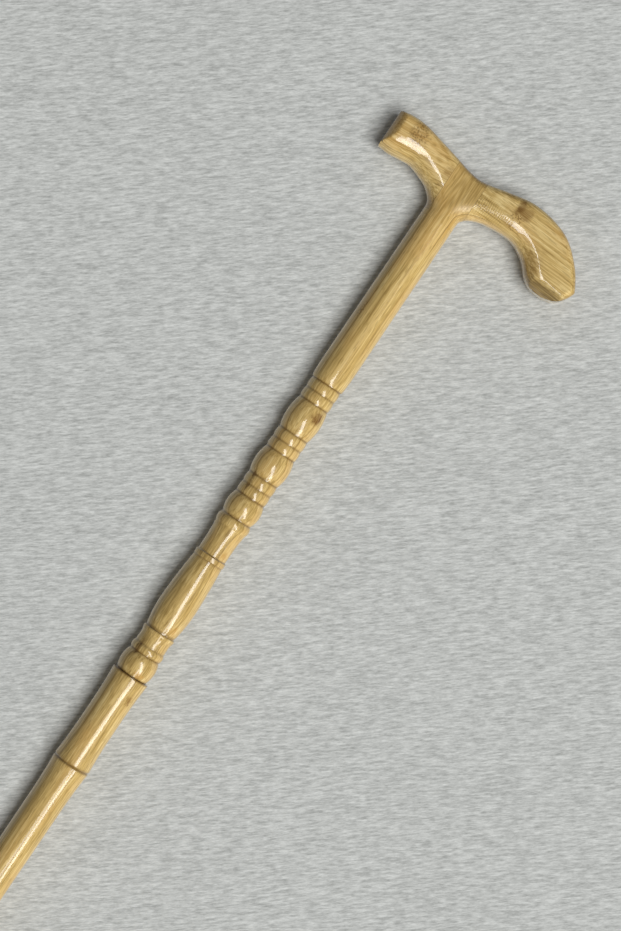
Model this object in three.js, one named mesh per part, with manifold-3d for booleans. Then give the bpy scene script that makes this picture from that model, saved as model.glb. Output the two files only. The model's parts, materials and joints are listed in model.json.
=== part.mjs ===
// Walking stick with a T handle, turned and carved from laminated bamboo. Millimetres.
// The stick lies on a table: +X runs up the shaft from the foot, +Y points to the short arm and +Z is up.
import * as THREE from 'three';
import { mergeGeometries, mergeVertices, toCreasedNormals } from 'three/addons/utils/BufferGeometryUtils.js';
import Module from 'manifold-3d';

// Overall sizes
const stickLength = 900;
const stripCount = 5;
const stripThickness = 5.4;
const handleThickness = stripCount * stripThickness;
const clearance = 0.3;

// Shaft radii
const footRadius = 9;
const taperTopRadius = 10.6;
const plainRadius = 10.7;
const headRadius = 10.5;
const neckRadius = 9;
const valleyRadius = 9.4;
const ringRadius = 9.8;
const collarRadius = 9.8;
const beadRadius = 11;
const vaseRadius = 11.25;

// Lengths of the turned members, from the step above the top joint to the plain length under the handle
const stepUp = 546.6;
const stepGap = 0.3;
const beadLengths = { lowest: 14, low: 14, high: 17.6, highest: 20.6 };
const ringLength = 6.6;
const ringOverBead = 5.1;
const coveLength = 8.1;
const lipLength = 2.1;
const grooveWidth = 1;
const vaseRise = 17;
const vaseFall = 31;
const collarLength = 4;
const neckLength = 18.4;
const neckFlare = 0.9;
const cupLength = 14;

// Bamboo-like joints: a groove between two gentle swellings, spaced down the lower shaft as far as they fit
const jointBelowStep = 60.6;
const topJoint = stepUp - jointBelowStep;
const jointSpacing = 136;
const jointSwell = 0.7;
const swellReach = 24;
const jointGrooveWidth = 1.4;
const jointGrooveDepth = 0.8;

// Handle outline, as [across, below the top of the stick] pairs from the short arm to the long one
const noseTip = [-79.5, 43.3];
const palmLine = [
  [51.8, 1.6], [45, 0], [34.8, 0.3], [22.6, 2.8], [10.4, 5.6], [-1, 8.3], [-10, 8.8], [-23.4, 6],
  [-40, 3.2], [-55.5, 4.9], [-68.4, 10.1], [-79.8, 20.4], [-86.6, 30.3], [-87.4, 34], [-83.6, 40.6], noseTip,
];
const shortUnderside = [[51.8, 24.6], [45, 25.1], [38, 24.4], [31, 24], [24.5, 25.9], [17.5, 28.8]];
const longUnderside = [
  [-14.8, 31.2], [-22, 28.5], [-33.6, 27.3], [-43, 28.3], [-51.9, 33.2], [-59, 40.4], [-65, 43.8], [-73, 44.6],
  noseTip,
];

// How each underside leaves the shaft's side, as [out from the side, above the head's start] pairs
const headStart = 42;
const shortFillet = [[2.1, 9], [0.4, 6], [0, 3], [0, 0]];
const longFillet = [[0, 0], [0, 4], [0.5, 7.2]];

// Rounding of the handle's edges. Fullness 2 is a quarter circle, and less leaves a crisper ridge.
const palmRound = 4;
const shortRound = 12;
const endRound = 5.7;
const endFullness = 1.3;
const noseRound = 6.8;
const noseFullness = 1.3;

// The handle is a saddle: as thin as the shaft over the shaft, and thicker out along both arms
const saddleStart = 1;
const saddleLength = 34;
const saddleEase = 6;

// Glued seams beside the shaft's head, and the shoulder that the short arm stands on
const shortSeam = 8;
const longSeam = 12.5;
const shoulderDrop = 39;
const stripSkin = 0.8;

// Bamboo pins across the seams
const pinRadius = 2;
const pinLength = 22;
const pinInHead = 8;
const pinDrops = [22, 13.5];

// Rubber ferrule and its steel washer
const ferruleLength = 34;
const ferruleFloor = 7;
const ferruleWall = 2;
const treadRadius = handleThickness / 2;
const treadHeight = 6;
const treadGrooves = [5.2, 9.2];
const treadGrooveWidth = 1.6;
const treadGrooveDepth = 1.2;
const waistLength = 8;
const ribCount = 3;
const ribHeight = 0.7;
const ribWidth = 3.2;
const washerThickness = 1;

// Facets
const roundSides = 20;
const stationCount = { short: 8, long: 18 };

const wasm = await Module();
wasm.setup();

// A closed three.js geometry as a solid that can be joined and cut
function solidOf(geometry) {
  const bare = new THREE.BufferGeometry();
  bare.setAttribute('position', geometry.getAttribute('position'));
  bare.setIndex(geometry.getIndex());
  const merged = mergeVertices(bare, 1e-3);
  const corners = merged.getIndex().array;
  const kept = [];
  for (let i = 0; i < corners.length; i += 3) {
    const [a, b, c] = corners.subarray(i, i + 3);
    if (a !== b && b !== c && c !== a) kept.push(a, b, c);
  }
  return new wasm.Manifold(new wasm.Mesh({
    numProp: 3,
    vertProperties: new Float32Array(merged.getAttribute('position').array),
    triVerts: new Uint32Array(kept),
  }));
}

// A solid as a three.js geometry, smooth except across its sharp edges
function geometryOf(solid) {
  const mesh = solid.getMesh();
  const geometry = new THREE.BufferGeometry();
  geometry.setAttribute('position', new THREE.BufferAttribute(mesh.vertProperties, 3));
  geometry.setIndex(new THREE.BufferAttribute(mesh.triVerts, 1));
  return toCreasedNormals(geometry, THREE.MathUtils.degToRad(35));
}

// A box between two corners, as a solid
function boxSolid([x0, y0, z0], [x1, y1, z1]) {
  const box = new THREE.BoxGeometry(x1 - x0, y1 - y0, z1 - z0);
  return solidOf(box.translate((x0 + x1) / 2, (y0 + y1) / 2, (z0 + z1) / 2));
}

// A profile of [radius, distance up the shaft] points, turned round the X axis
function turned(profile) {
  const points = profile.map(([radius, x]) => new THREE.Vector2(radius, x));
  return new THREE.LatheGeometry(points, roundSides).rotateZ(-Math.PI / 2);
}

// The lower shaft's radius: a slow taper, with a swelling at each joint and at the step
function lowerRadius(x, joints) {
  const start = ferruleLength + clearance;
  const along = THREE.MathUtils.clamp((x - start) / (topJoint - start), 0, 1);
  const taper = THREE.MathUtils.lerp(footRadius, taperTopRadius, along);
  const nearest = Math.min(...joints.map((joint) => Math.abs(x - joint)));
  return taper + jointSwell * Math.max(0, 1 - nearest / swellReach) ** 2;
}

// The shaft's profile from the foot to the start of the head
function shaftProfile() {
  const footEnd = ferruleFloor + washerThickness;
  const profile = [[0, footEnd], [footRadius - 0.5, footEnd], [footRadius, footEnd + 0.5]];
  const joints = [];
  for (let x = topJoint; x > ferruleLength + clearance + swellReach; x -= jointSpacing) joints.unshift(x);
  const swellings = [...joints, stepUp];
  profile.push([footRadius, ferruleLength + clearance]);
  const half = jointGrooveWidth / 2;
  for (const joint of joints) {
    for (const before of [swellReach, swellReach / 3, half]) {
      profile.push([lowerRadius(joint - before, swellings), joint - before]);
    }
    profile.push([lowerRadius(joint, swellings) - jointGrooveDepth, joint]);
    for (const after of [half, swellReach / 3, swellReach]) {
      profile.push([lowerRadius(joint + after, swellings), joint + after]);
    }
  }
  for (const before of [swellReach, swellReach / 3, 0]) {
    profile.push([lowerRadius(stepUp - before, swellings), stepUp - before]);
  }

  // Each member starts where the last one ended. A crown swells to its crest and falls back to the valley.
  let x = stepUp + stepGap;
  const crown = (length, crest, steps, from = valleyRadius, to = valleyRadius) => {
    for (let i = 0; i < steps; i += 1) {
      const f = i / steps;
      const valley = THREE.MathUtils.lerp(from, to, f);
      profile.push([valley + (crest - valley) * (1 - (2 * f - 1) ** 2), x + f * length]);
    }
    x += length;
  };
  const bead = (length) => crown(length, beadRadius, 6);
  const ringPair = () => {
    crown(ringLength, ringRadius, 3);
    crown(ringLength, ringRadius, 3);
  };

  crown(beadLengths.lowest, beadRadius + 0.15, 6, valleyRadius + 0.5);
  crown(ringOverBead, ringRadius + 0.5, 3, valleyRadius + 0.4, valleyRadius + 0.1);
  crown(coveLength, valleyRadius, 4, valleyRadius + 0.1, ringRadius + 0.3);
  crown(lipLength, ringRadius + 0.4, 2, ringRadius + 0.2, ringRadius);
  profile.push([valleyRadius, x], [valleyRadius, x + grooveWidth]);
  x += grooveWidth;
  for (const f of [0.12, 0.35, 0.65, 1]) {
    profile.push([vaseRadius - (vaseRadius - valleyRadius - 0.1) * (1 - f) ** 2, x + f * vaseRise]);
  }
  x += vaseRise;
  for (const f of [0.25, 0.5, 0.75, 1]) {
    profile.push([vaseRadius - (vaseRadius - valleyRadius) * f ** 1.6, x + f * vaseFall]);
  }
  x += vaseFall;
  profile.push([collarRadius - 0.2, x + 0.2], [collarRadius, x + 1], [collarRadius, x + collarLength - 0.8]);
  x += collarLength;
  for (const f of [0, 0.5, 0.8, 1]) {
    profile.push([neckRadius + neckFlare * f ** 3, x + f * neckLength]);
  }
  x += neckLength;
  crown(ringLength, ringRadius + 0.85, 3, neckRadius + neckFlare);
  bead(beadLengths.low);
  ringPair();
  bead(beadLengths.high);
  ringPair();
  bead(beadLengths.highest);
  ringPair();
  for (const f of [0, 0.2, 0.5, 1]) {
    const rise = Math.sqrt(1 - (1 - f) ** 2);
    profile.push([valleyRadius + (plainRadius - valleyRadius) * rise, x + f * cupLength]);
  }
  profile.push([headRadius, stickLength - headStart]);
  return profile;
}

// The handle's outline as smooth curves through its points. The undersides run into the shaft's sides.
function outlineCurve(points) {
  return new THREE.SplineCurve(points.map(([across, drop]) => new THREE.Vector2(stickLength - drop, across)));
}

// The handle from its outline: stations run from the underside to the palm line, and the surface over each
// point is as high as the rounding of the nearest edges lets it be.
function headGeometry() {
  const palm = outlineCurve(palmLine);
  const filletPoints = (fillet, side) => fillet.map(([out, up]) => [side * (headRadius + out), headStart - up]);
  const short = outlineCurve([...shortUnderside, ...filletPoints(shortFillet, 1)]);
  const long = outlineCurve([...filletPoints(longFillet, -1), ...longUnderside]);
  const shaftTop = stickLength - headStart;

  // Half the thickness away from any edge
  const eased = (v) => (v < saddleEase ? Math.max(v, 0) ** 2 / (2 * saddleEase) : v - saddleEase / 2);
  const fullHeight = (y) => {
    const out = Math.abs(y) - saddleStart;
    const rise = (eased(out) - eased(out - saddleLength)) / saddleLength;
    return THREE.MathUtils.lerp(headRadius, handleThickness / 2, rise);
  };

  // Each edge's rounding as [radius, fullness] at a share of its length
  const { lerp, smoothstep } = THREE.MathUtils;
  const blend = (from, to, start, end, u) => lerp(from, to, smoothstep(u, start, end));
  const roundings = {
    palm: () => [palmRound, 2],
    short: (u) => [blend(shortRound, headRadius, 0, 0.7, u), 2],
    long: (u) => [blend(headRadius, noseRound, 0.5, 0.85, u), blend(2, noseFullness, 0.4, 0.7, u)],
    end: () => [endRound, endFullness],
    side: () => [headRadius, 2],
  };

  // Short straight edges, each with its rounding
  const edges = [];
  const addEdges = (points, rounding) => points.slice(1).forEach((end, i) => {
    const corners = [points[i], end].map((p) => new THREE.Vector3(p.x, p.y, 0));
    edges.push({ line: new THREE.Line3(...corners), rounding: rounding((i + 0.5) / (points.length - 1)) });
  });
  addEdges(palm.getSpacedPoints(160), roundings.palm);
  addEdges(short.getSpacedPoints(160), roundings.short);
  addEdges(long.getSpacedPoints(160), roundings.long);
  addEdges([palm.getPoint(0), short.getPoint(0)], roundings.end);
  for (const y of [-headRadius, headRadius]) {
    addEdges([new THREE.Vector2(shaftTop - 2 * headRadius, y), new THREE.Vector2(shaftTop, y)], roundings.side);
  }
  const nearest = new THREE.Vector3();
  const surfaceHeight = (point) => {
    const top = fullHeight(point.y);
    const place = new THREE.Vector3(point.x, point.y, 0);
    return Math.min(...edges.map(({ line, rounding: [radius, fullness] }) => {
      line.closestPointToPoint(place, true, nearest);
      const off = Math.max(1 - nearest.distanceTo(place) / radius, 0);
      return top - radius + radius * (1 - off ** fullness) ** (1 / fullness);
    }));
  };

  // Stations as [underside point, palm point, height at the underside]
  const stations = [];
  const palmAboveShaft = [0.275, 0.345];
  const shortSteps = [0, 0.02, 0.06];
  for (let i = 0; i < stationCount.short; i += 1) {
    shortSteps.push(THREE.MathUtils.lerp(1, 0.12, (1 - i / stationCount.short) ** 1.3));
  }
  for (const f of shortSteps) {
    const foot = short.getPointAt(f);
    stations.push([foot, palm.getPointAt(f * palmAboveShaft[0]), fullHeight(foot.y) - roundings.short(f)[0]]);
  }
  for (let i = 0; i <= roundSides / 2; i += 1) {
    const angle = (i / roundSides) * 2 * Math.PI;
    const foot = new THREE.Vector2(shaftTop, headRadius * Math.cos(angle));
    const u = THREE.MathUtils.lerp(...palmAboveShaft, (2 * i) / roundSides);
    stations.push([foot, palm.getPointAt(u), headRadius * Math.sin(angle)]);
  }
  for (let i = 1; i <= stationCount.long; i += 1) {
    const f = (i / stationCount.long) ** 1.2;
    const foot = long.getPointAt(f);
    const height = fullHeight(foot.y) - roundings.long(f)[0];
    stations.push([foot, palm.getPointAt(THREE.MathUtils.lerp(palmAboveShaft[1], 1, f)), height]);
  }

  // Rows across each station, close together over the rounded edges
  const grid = stations.map(([foot, crest, footHeight]) => {
    const width = foot.distanceTo(crest);
    const low = [0, 25, 50, 70, 90].map((deg) => headRadius * (1 - Math.cos(THREE.MathUtils.degToRad(deg))));
    const high = [90, 50, 25, 0].map((deg) => width - palmRound * (1 - Math.cos(THREE.MathUtils.degToRad(deg))));
    const scale = Math.min(1, (0.87 * (width - palmRound)) / headRadius);
    const middle = (headRadius * scale + width - palmRound) / 2;
    return [...low.map((d) => d * scale), middle, ...high.map((d) => Math.max(d, 0))].map((d, j, all) => {
      const at = foot.clone().lerp(crest, width > 2 * palmRound ? d / width : j / (all.length - 1));
      if (j === 0) return new THREE.Vector3(at.x, at.y, footHeight);
      if (j === all.length - 1) return new THREE.Vector3(at.x, at.y, fullHeight(at.y) - palmRound);
      return new THREE.Vector3(at.x, at.y, surfaceHeight(at));
    });
  });

  // The upper skin, its mirror image below, and the wall that joins them all round except at the shaft
  const columns = grid[0].length;
  const upper = grid.flat();
  const positions = [...upper, ...upper.map((p) => new THREE.Vector3(p.x, p.y, -p.z))].flatMap((p) => p.toArray());
  const below = upper.length;
  const faces = [];
  const quad = (a, b, c, d) => faces.push(a, c, b, a, d, c);
  const firstCentre = shortSteps.length;
  const lastCentre = firstCentre + roundSides / 2;
  for (let i = 0; i + 1 < grid.length; i += 1) {
    for (let j = 0; j + 1 < columns; j += 1) {
      const [a, b, c, d] = [i * columns + j, i * columns + j + 1, (i + 1) * columns + j + 1, (i + 1) * columns + j];
      quad(a, b, c, d);
      quad(below + d, below + c, below + b, below + a);
    }
    const [p, q] = [i * columns, (i + 1) * columns];
    if (i < firstCentre || i >= lastCentre) quad(p, q, below + q, below + p);
    quad(q + columns - 1, p + columns - 1, below + p + columns - 1, below + q + columns - 1);
  }
  for (const [i, turn] of [[0, false], [grid.length - 1, true]]) {
    for (let j = 0; j + 1 < columns; j += 1) {
      const [a, b] = turn ? [i * columns + j, i * columns + j + 1] : [i * columns + j + 1, i * columns + j];
      quad(a, b, below + b, below + a);
    }
  }
  const geometry = new THREE.BufferGeometry();
  geometry.setAttribute('position', new THREE.Float32BufferAttribute(positions, 3));
  geometry.setIndex(faces);
  return geometry;
}

// Shaft and handle as one carved form, before the seams part it
function carvedForm() {
  const shaft = turned(shaftProfile());
  const parts = [shaft, headGeometry()].map((geometry) => {
    const bare = new THREE.BufferGeometry();
    bare.setAttribute('position', geometry.getAttribute('position'));
    bare.setIndex(geometry.getIndex());
    return bare;
  });
  return solidOf(mergeGeometries(parts));
}

// The glue lines between the strips. The outer ones stay under the lathe's deepest cut.
function glueLines() {
  const deepest = Math.min(neckRadius, valleyRadius, footRadius) - stripSkin;
  const outer = Math.min(1.5 * stripThickness, deepest);
  return [-handleThickness, -outer, -stripThickness / 2, stripThickness / 2, outer, handleThickness];
}

// A pin, or its hole when it is grown by the clearance, across a seam
function pinGeometry(x, seam, outward, grow = 0) {
  const length = pinLength + 2 * grow;
  const middle = seam + outward * (pinLength / 2 - pinInHead);
  return new THREE.CylinderGeometry(pinRadius + grow, pinRadius + grow, length, 12).translate(x, middle, 0);
}

function addMesh(group, name, geometry, look) {
  const mesh = new THREE.Mesh(geometry, new THREE.MeshStandardMaterial(look));
  mesh.name = name;
  group.add(mesh);
}

// The three blocks of the stick, each cut into its strips
function addWood(group) {
  const form = carvedForm();
  const reach = 200;
  const shoulder = stickLength - shoulderDrop;
  const shortBox = boxSolid([shoulder, shortSeam, -reach], [stickLength + reach, reach, reach]);
  const longBox = boxSolid([shoulder - reach, -reach, -reach], [stickLength + reach, -longSeam, reach]);
  const seams = { short: { at: shortSeam, outward: 1 }, long: { at: -longSeam, outward: -1 } };
  let holes = null;
  for (const [arm, { at, outward }] of Object.entries(seams)) {
    pinDrops.forEach((drop, i) => {
      const x = stickLength - drop;
      const look = { color: 0xb98d55, roughness: 0.7, metalness: 0 };
      addMesh(group, `${arm}_arm_pin_${i + 1}`, pinGeometry(x, at, outward), look);
      const hole = solidOf(pinGeometry(x, at, outward, clearance));
      holes = holes ? holes.add(hole) : hole;
    });
  }
  const drilled = form.subtract(holes);
  const blocks = {
    shaft: drilled.subtract(shortBox).subtract(longBox),
    short_arm: drilled.intersect(shortBox),
    long_arm: drilled.intersect(longBox),
  };
  const lines = glueLines();
  const tones = [0xc49c58, 0xcfaa66, 0xc7a05c, 0xbf9752, 0xcda765];
  for (const [block, solid] of Object.entries(blocks)) {
    for (let i = 0; i < stripCount; i += 1) {
      const slab = boxSolid([-reach, -reach, lines[i]], [stickLength + reach, reach, lines[i + 1]]);
      const look = { color: tones[i], roughness: 0.3, metalness: 0 };
      addMesh(group, `${block}_strip_${i + 1}`, geometryOf(solid.intersect(slab)), look);
    }
  }
}

// Rubber ferrule: a grooved tread, a waist and a ribbed sleeve over the shaft's foot
function ferruleGeometry() {
  const bore = footRadius + clearance;
  const sleeve = bore + ferruleWall;
  const profile = [[0, 0]];
  for (const groove of treadGrooves) {
    const half = treadGrooveWidth / 2;
    profile.push([groove - half, 0], [groove - half * 0.5, treadGrooveDepth]);
    profile.push([groove + half * 0.5, treadGrooveDepth], [groove + half, 0]);
  }
  profile.push([treadRadius - 0.8, 0], [treadRadius, 0.8], [treadRadius, treadHeight - 0.6]);
  profile.push([treadRadius - 0.6, treadHeight]);
  for (const f of [0.3, 0.65, 1]) {
    profile.push([sleeve + (treadRadius - 0.6 - sleeve) * (1 - f) ** 2, treadHeight + f * waistLength]);
  }
  const ribbed = ferruleLength - treadHeight - waistLength - ribWidth / 2;
  for (let i = 0; i < ribCount; i += 1) {
    const rib = ferruleLength - ribbed * (1 - i / ribCount);
    profile.push([sleeve, rib], [sleeve + ribHeight, rib + 0.3 * ribWidth]);
    profile.push([sleeve + ribHeight, rib + 0.7 * ribWidth], [sleeve, rib + ribWidth]);
  }
  profile.push([sleeve, ferruleLength - 0.5], [sleeve - 0.5, ferruleLength]);
  profile.push([bore, ferruleLength], [bore, ferruleFloor], [0, ferruleFloor]);
  return turned(profile);
}

function washerGeometry() {
  const radius = footRadius;
  const end = ferruleFloor + washerThickness;
  return turned([[0, ferruleFloor], [radius, ferruleFloor], [radius, end], [0, end]]);
}

const stick = new THREE.Group();
addWood(stick);
addMesh(stick, 'ferrule', ferruleGeometry(), { color: 0x1d1c1b, roughness: 0.85, metalness: 0 });
addMesh(stick, 'ferrule_washer', washerGeometry(), { color: 0xa9abad, roughness: 0.35, metalness: 1 });

// The origin lies on the table, under the middle of the stick's length and width
const walkingStick = new THREE.Group();
walkingStick.add(stick);
const extent = new THREE.Box3().setFromObject(stick, true);
const middle = extent.getCenter(new THREE.Vector3());
stick.position.set(-middle.x, -middle.y, -extent.min.z);
export default walkingStick;
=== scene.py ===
# %% [markdown]
# # A walking stick in laminated bamboo
# The stick lies on a pale floor and is seen from above. Its shaft is turned on a lathe, its T handle is
# carved, and both are glued up from bamboo strips under a clear lacquer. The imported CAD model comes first,
# as a fixed frame, so every smooth piece made here goes where the CAD has it.

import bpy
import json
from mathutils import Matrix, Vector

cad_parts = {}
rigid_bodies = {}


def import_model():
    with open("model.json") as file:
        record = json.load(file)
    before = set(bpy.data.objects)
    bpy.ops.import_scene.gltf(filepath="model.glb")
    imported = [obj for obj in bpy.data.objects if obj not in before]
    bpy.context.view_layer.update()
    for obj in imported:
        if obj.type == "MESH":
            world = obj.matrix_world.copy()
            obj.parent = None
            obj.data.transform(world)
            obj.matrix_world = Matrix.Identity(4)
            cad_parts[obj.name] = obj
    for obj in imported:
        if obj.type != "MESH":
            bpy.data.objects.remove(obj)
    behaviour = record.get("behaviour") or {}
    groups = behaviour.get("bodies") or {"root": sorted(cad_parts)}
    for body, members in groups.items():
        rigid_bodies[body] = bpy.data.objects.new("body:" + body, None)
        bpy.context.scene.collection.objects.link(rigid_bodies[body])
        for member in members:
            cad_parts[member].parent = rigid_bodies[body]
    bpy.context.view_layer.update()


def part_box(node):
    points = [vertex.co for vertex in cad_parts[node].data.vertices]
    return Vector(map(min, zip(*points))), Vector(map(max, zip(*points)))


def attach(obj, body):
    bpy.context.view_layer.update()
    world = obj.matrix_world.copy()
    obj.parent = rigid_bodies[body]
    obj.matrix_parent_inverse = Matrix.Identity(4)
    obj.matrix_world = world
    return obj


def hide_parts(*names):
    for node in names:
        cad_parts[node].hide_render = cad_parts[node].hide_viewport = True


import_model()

# %% [markdown]
# ## One place to measure from
# A turner measures along the stick from its foot and out from its axis. The ferrule's box tells where the
# foot and the axis are, and one matrix takes every finished piece from those millimetres to the model's
# metres.

# %% Stick millimetres to metres
import bpy
import bmesh
import json
import math
from mathutils import Matrix, Vector
from mathutils.bvhtree import BVHTree
from mathutils.geometry import interpolate_bezier

mm_per_metre = 1000
ferrule_low, ferrule_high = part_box("ferrule")
axis_point = Vector((
    ferrule_low.x, (ferrule_low.y + ferrule_high.y) / 2, (ferrule_low.z + ferrule_high.z) / 2))
stick_to_model = Matrix.Translation(axis_point) @ Matrix.Scale(1 / mm_per_metre, 4)
print("foot of the axis:", [round(v, 4) for v in axis_point])

# %% [markdown]
# ## Laminated bamboo under lacquer
# Bamboo has no solid wood thick enough for a handle, so strips of the culm's wall are planed, glued face to
# face and then turned and carved. The eye sees fine straight fibres, thin brown glue lines, a tone that
# changes from strip to strip, brown marks where a culm's joint was, and the sharp white gloss of lacquer.
# A picture of wood could be laid on with UVs, but it would swim over the beads. A grain that fills space,
# stretched along the fibres, curves round beads and hollows by itself, as real grain does, so the finish
# reads Object coordinates. Small helpers come first: one for colours, three that add and feed nodes, and
# one that starts a material measured in stick millimetres.

# %% Helpers for finishes
def paint(hex_colour):
    """An sRGB hex value as the linear colour that a shader takes."""
    channels = [int(hex_colour[i:i + 2], 16) / 255 for i in (1, 3, 5)]
    return [*(c / 12.92 if c <= 0.04045 else ((c + 0.055) / 1.055) ** 2.4 for c in channels), 1]


def feed(node, links):
    """Feed a node's named inputs, each with a value or with another node's output."""
    for name, value in links.items():
        if isinstance(value, bpy.types.NodeSocket):
            node.id_data.links.new(value, node.inputs[name])
        else:
            node.inputs[name].default_value = value


def add_node(material, kind, links, output=0, **settings):
    """Add a fed node with its settings. What comes back is its first output, or the one asked for."""
    node = material.node_tree.nodes.new("ShaderNode" + kind)
    for name, value in settings.items():
        setattr(node, name, value)
    feed(node, links)
    return node.outputs[output]


def mixed(material, amount, one, other):
    """One colour where the amount is 0 and the other where it is 1."""
    return add_node(material, "Mix", {0: amount, 6: one, 7: other}, output=2, data_type="RGBA")


def new_finish(name):
    """A new material with its shader and its Object coordinates, in stick millimetres."""
    material = bpy.data.materials.new(name)
    material.use_nodes = True
    shader = material.node_tree.nodes["Principled BSDF"]
    place = add_node(material, "TexCoord", {}, output="Object")
    centred = add_node(material, "Mapping", {
        "Vector": place, "Location": axis_point * -mm_per_metre,
        "Scale": (mm_per_metre, mm_per_metre, mm_per_metre)})
    return material, shader, centred


# %% [markdown]
# Five patterns make the grain. Fibres and stripes run along it, layers are the culm's wall from rind to pith,
# bundles are the short dark dashes where cut fibres end, and clouds change slowly, over a few centimetres.
# All are one noise with another stretch, which keeps the graph easy to tune. Real fibres are about 0.4 mm
# thick, too fine to show here, so they are drawn nearly a millimetre wide.

# %% Patterns of bamboo
straw, honey, amber = "#F3D998", "#D1B16C", "#937538"
# The second brown darkens the joint grooves and paints shade into the corners between turned members
glue_brown, groove_stain_and_shade_brown, node_brown, tint_orange = "#6B4A17", "#6B4A0C", "#7A5418", "#C08C3E"

# One patch of each pattern is this long, wide and deep in millimetres, with the noise's detail
grain_patches = {
    "fibres": (26, 0.9, 0.9, 2), "stripes": (110, 2.0, 2.0, 2), "layers": (220, 11, 0.55, 1),
    "bundles": (5, 0.6, 0.6, 0), "clouds": (45, 18, 18, 1)}
grain_strengths = {"fibres": 1.6, "stripes": 1.2, "layers": 0.8, "clouds": 0.8}


def grain_noises(material, turned_place):
    """Noise stretched along the grain, one for each pattern."""
    grain = {}
    for use, (length, width, depth, detail) in grain_patches.items():
        stretched = add_node(material, "Mapping", {
            "Vector": turned_place, "Scale": (1 / length, 1 / width, 1 / depth)})
        grain[use] = add_node(material, "TexNoise", {
            "Vector": stretched, "Scale": 1, "Detail": detail, "Roughness": 0.6})
    return grain


# %% [markdown]
# Glue lines and marks lie at known places, so they are made from distances. A line shows where a coordinate
# is close to a level, and a spot where a point is close to a centre.

# %% Lines and spots
def line_at(material, value, level, half_width, strength):
    """A soft line where a coordinate passes a level, at full strength within a fifth of its width."""
    away = add_node(material, "Math", {0: value, 1: level}, operation="SUBTRACT")
    apart = add_node(material, "Math", {0: away}, operation="ABSOLUTE")
    return add_node(material, "MapRange", {
        "Value": apart, "From Min": half_width, "From Max": half_width / 5, "To Max": strength})


def both(material, one, other):
    """How much of two amounts applies at once: their product."""
    return add_node(material, "Math", {0: one, 1: other}, operation="MULTIPLY")


def spot_at(material, place, centre, size, strength):
    """A soft round or long spot, as strong as asked out to half its size."""
    near = add_node(material, "Mapping", {
        "Vector": place, "Location": [-c / s for c, s in zip(centre, size)],
        "Scale": [1 / s for s in size]})
    spot = add_node(
        material, "TexGradient", {"Vector": near}, output="Fac", gradient_type="SPHERICAL")
    return add_node(material, "MapRange", {"Value": spot, "From Max": 0.5, "To Max": strength})


# %% [markdown]
# The wood's tone is a sum of four of the patterns, each round its middle, and a ramp from amber through
# honey to straw turns it into a colour. Adding tones first and colouring last keeps every mixture inside the
# range of colours that bamboo really has.

# %% Tone of the wood
def wood_colour(material, grain, contrast, tone):
    """The colour of bare wood: the patterns added round a tone, which runs from dark 0 to pale 1."""
    total = tone
    for use, strength in grain_strengths.items():
        part = add_node(material, "Math", {0: grain[use], 1: -0.5}, operation="ADD")
        total = add_node(material, "Math", {
            0: part, 1: strength * contrast, 2: total}, operation="MULTIPLY_ADD")
    wood = add_node(material, "ValToRGB", {"Fac": total})
    ramp = wood.node.color_ramp
    ramp.elements[0].color, ramp.elements[1].color = paint(amber), paint(straw)
    ramp.elements.new(0.5).color = paint(honey)
    return wood


# %% [markdown]
# What darkens or tints the wood is kept as a list of layers, each as how much and which colour. End grain
# drinks the stain, so faces that look along the fibres are darker. Cut bundles show as dashes, and some
# clouds are warmer. The glue planes are where the strips meet, and they show only in places, as real ones
# do. The seams of the arms show only above the shoulder on which the short arm sits.

# %% Layers that follow the grain and the glue
stick_length, shoulder_drop = 900, 39
shoulder = stick_length - shoulder_drop
glue_line_strengths = {2.7: 0.25, 8.1: 0.5}
glue_half_width, seam_strength = 0.4, 0.4


def grain_layers(material, place, grain, grain_turn, seams):
    """Warm clouds, end grain, dashes, glue lines and seams, each as an amount and a colour."""
    normal = add_node(material, "NewGeometry", {}, output="Normal")
    grain_way = (math.cos(math.radians(grain_turn)), math.sin(math.radians(grain_turn)), 0)
    facing = add_node(
        material, "VectorMath", {0: normal, 1: grain_way}, output="Value", operation="DOT_PRODUCT")
    end_on = add_node(material, "Math", {0: facing}, operation="ABSOLUTE")
    end_grain = add_node(material, "MapRange", {
        "Value": end_on, "From Min": 0.45, "From Max": 0.9, "To Max": 0.55})
    dashes = add_node(material, "MapRange", {
        "Value": grain["bundles"], "From Min": 0.58, "From Max": 0.72, "To Max": 0.4})
    warm = add_node(material, "MapRange", {
        "Value": grain["clouds"], "From Min": 0.5, "From Max": 0.66, "To Max": 0.3})
    layers = [(warm, tint_orange), (end_grain, node_brown), (dashes, amber)]
    x, y, z = add_node(material, "SeparateXYZ", {"Vector": place}).node.outputs
    height = add_node(material, "Math", {0: z}, operation="ABSOLUTE")
    broken = add_node(material, "MapRange", {
        "Value": grain["clouds"], "From Min": 0.42, "From Max": 0.6, "To Min": 0.15, "To Max": 1.0})
    for plane, strength in glue_line_strengths.items():
        line = line_at(material, height, plane, glue_half_width, strength)
        layers.append((both(material, line, broken), glue_brown))
    above = add_node(material, "Math", {0: x, 1: shoulder}, operation="GREATER_THAN")
    for level in seams:
        seam = line_at(material, y, level, glue_half_width, seam_strength)
        layers.append((both(material, seam, above), glue_brown))
    return layers


# %% [markdown]
# Between the arms the carver cut down through the layers of the shaft's blank, and they come out as narrow
# arches, one in another. Rings of a wave, stretched along the shaft, draw them, and a spot keeps them there.

# %% Nested arches
wave_repeat = 0.314  # a Wave texture of scale 1 repeats after this many units
arch_stretch, arch_spacing, arch_strength = 7, 1.7, 0.45


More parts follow.
